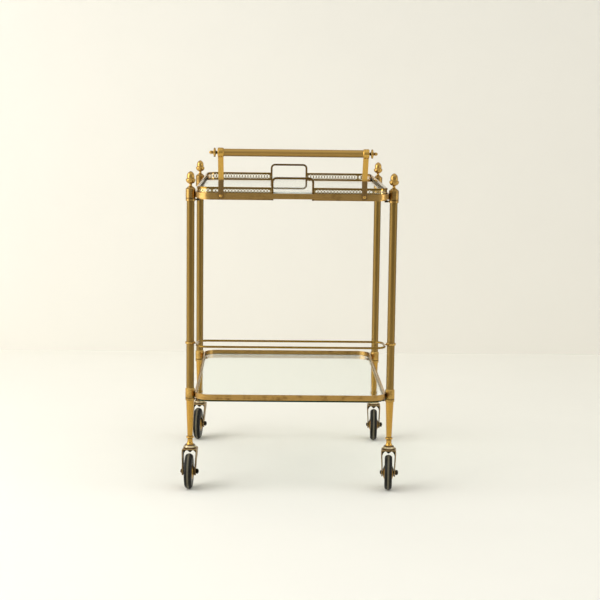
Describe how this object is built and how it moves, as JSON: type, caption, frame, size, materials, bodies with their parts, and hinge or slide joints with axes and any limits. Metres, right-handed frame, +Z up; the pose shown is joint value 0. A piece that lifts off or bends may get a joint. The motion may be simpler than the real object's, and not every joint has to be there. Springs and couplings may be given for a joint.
{
  "type": "bar cart",
  "caption": "Two-tier brass bar cart with glass shelves, lift-off galleried tray, bottle rail, push handle, acorn finials and swivel casters.",
  "frame": {"origin": "on the floor, at the centre of the whole cart's footprint box", "axes": "+Z up, X across the cart, Y along it, with the push handle at the -Y end"},
  "size_m": [0.4652, 0.6018, 0.7253],
  "materials": {
    "leg_brass": "satin, fine lengthwise grain, aged",
    "turned_brass": "polished, turned",
    "collar_brass": "polished, turned, aged",
    "strip_brass": "satin, aged",
    "gallery_brass": "pierced, darkened in its recesses",
    "wire_brass": "drawn wire, polished, aged",
    "handle_brass": "polished, aged",
    "hub_brass": "satin, worn",
    "fork_brass": "dull plating, worn at its edges",
    "screw_brass": "slotted, darkened",
    "caster_steel": "dark, oiled",
    "clear_glass": "clear, ground edges",
    "tyre_rubber": "matt, with a lighter worn tread band",
    "peg_rubber": "matt"
  },
  "bodies": {
    "frame": {"front_left_leg_tube": "leg_brass", "front_left_finial": "turned_brass", "front_left_upper_collar": "collar_brass", "front_left_lower_collar": "collar_brass", "front_left_foot": "turned_brass", "front_left_caster_stem": "caster_steel", "front_right_leg_tube": "leg_brass", "front_right_finial": "turned_brass", "front_right_upper_collar": "collar_brass", "front_right_lower_collar": "collar_brass", "front_right_foot": "turned_brass", "front_right_caster_stem": "caster_steel", "rear_left_leg_tube": "leg_brass", "rear_left_finial": "turned_brass", "rear_left_upper_collar": "collar_brass", "rear_left_lower_collar": "collar_brass", "rear_left_foot": "turned_brass", "rear_left_caster_stem": "caster_steel", "rear_right_leg_tube": "leg_brass", "rear_right_finial": "turned_brass", "rear_right_upper_collar": "collar_brass", "rear_right_lower_collar": "collar_brass", "rear_right_foot": "turned_brass", "rear_right_caster_stem": "caster_steel", "upper_strip": "strip_brass", "lower_strip": "strip_brass", "shelf_glass": "clear_glass", "strip_screws": "screw_brass", "handle_screws": "screw_brass", "support_pegs": "screw_brass", "peg_sleeves": "peg_rubber", "handle_upright_left": "handle_brass", "handle_upright_right": "handle_brass", "handle_grip_tube": "handle_brass", "handle_knobs": "turned_brass", "bottle_rail": "wire_brass", "bottle_rail_rings": "turned_brass"},
    "tray": {"tray_glass": "clear_glass", "tray_rim_left": "strip_brass", "tray_rim_right": "strip_brass", "gallery_left": "gallery_brass", "gallery_right": "gallery_brass", "tray_handle_front": "wire_brass", "tray_handle_rear": "wire_brass"},
    "front_left_caster": {"front_left_caster_fork": "fork_brass", "front_left_axle_bolt": "caster_steel"},
    "front_left_wheel": {"front_left_wheel_hub": "hub_brass", "front_left_tyre": "tyre_rubber"},
    "front_right_caster": {"front_right_caster_fork": "fork_brass", "front_right_axle_bolt": "caster_steel"},
    "front_right_wheel": {"front_right_wheel_hub": "hub_brass", "front_right_tyre": "tyre_rubber"},
    "rear_left_caster": {"rear_left_caster_fork": "fork_brass", "rear_left_axle_bolt": "caster_steel"},
    "rear_left_wheel": {"rear_left_wheel_hub": "hub_brass", "rear_left_tyre": "tyre_rubber"},
    "rear_right_caster": {"rear_right_caster_fork": "fork_brass", "rear_right_axle_bolt": "caster_steel"},
    "rear_right_wheel": {"rear_right_wheel_hub": "hub_brass", "rear_right_tyre": "tyre_rubber"}
  },
  "joints": [
    {"name": "tray_lift", "type": "slide", "parent": "frame", "child": "tray", "axis": [0, 0, 1], "range_m": [0, 0.15]},
    {"name": "front_left_swivel", "type": "hinge", "parent": "frame", "child": "front_left_caster", "pos_m": [-0.21225, -0.21313, 0.0837], "axis": [0, 0, 1], "continuous": true},
    {"name": "front_left_spin", "type": "hinge", "parent": "front_left_caster", "child": "front_left_wheel", "pos_m": [-0.2134, -0.23509, 0.0375], "axis": [0.9986, -0.0523, 0], "continuous": true},
    {"name": "front_right_swivel", "type": "hinge", "parent": "frame", "child": "front_right_caster", "pos_m": [0.21275, -0.21313, 0.0837], "axis": [0, 0, 1], "continuous": true},
    {"name": "front_right_spin", "type": "hinge", "parent": "front_right_caster", "child": "front_right_wheel", "pos_m": [0.21103, -0.23506, 0.0375], "axis": [0.9969, -0.0785, 0], "continuous": true},
    {"name": "rear_left_swivel", "type": "hinge", "parent": "frame", "child": "rear_left_caster", "pos_m": [-0.21225, 0.25688, 0.0837], "axis": [0, 0, 1], "continuous": true},
    {"name": "rear_left_spin", "type": "hinge", "parent": "rear_left_caster", "child": "rear_left_wheel", "pos_m": [-0.21455, 0.235, 0.0375], "axis": [0.9945, -0.1045, 0], "continuous": true},
    {"name": "rear_right_swivel", "type": "hinge", "parent": "frame", "child": "rear_right_caster", "pos_m": [0.21275, 0.25688, 0.0837], "axis": [0, 0, 1], "continuous": true},
    {"name": "rear_right_spin", "type": "hinge", "parent": "rear_right_caster", "child": "rear_right_wheel", "pos_m": [0.2116, 0.23491, 0.0375], "axis": [0.9986, -0.0523, 0], "continuous": true}
  ]
}
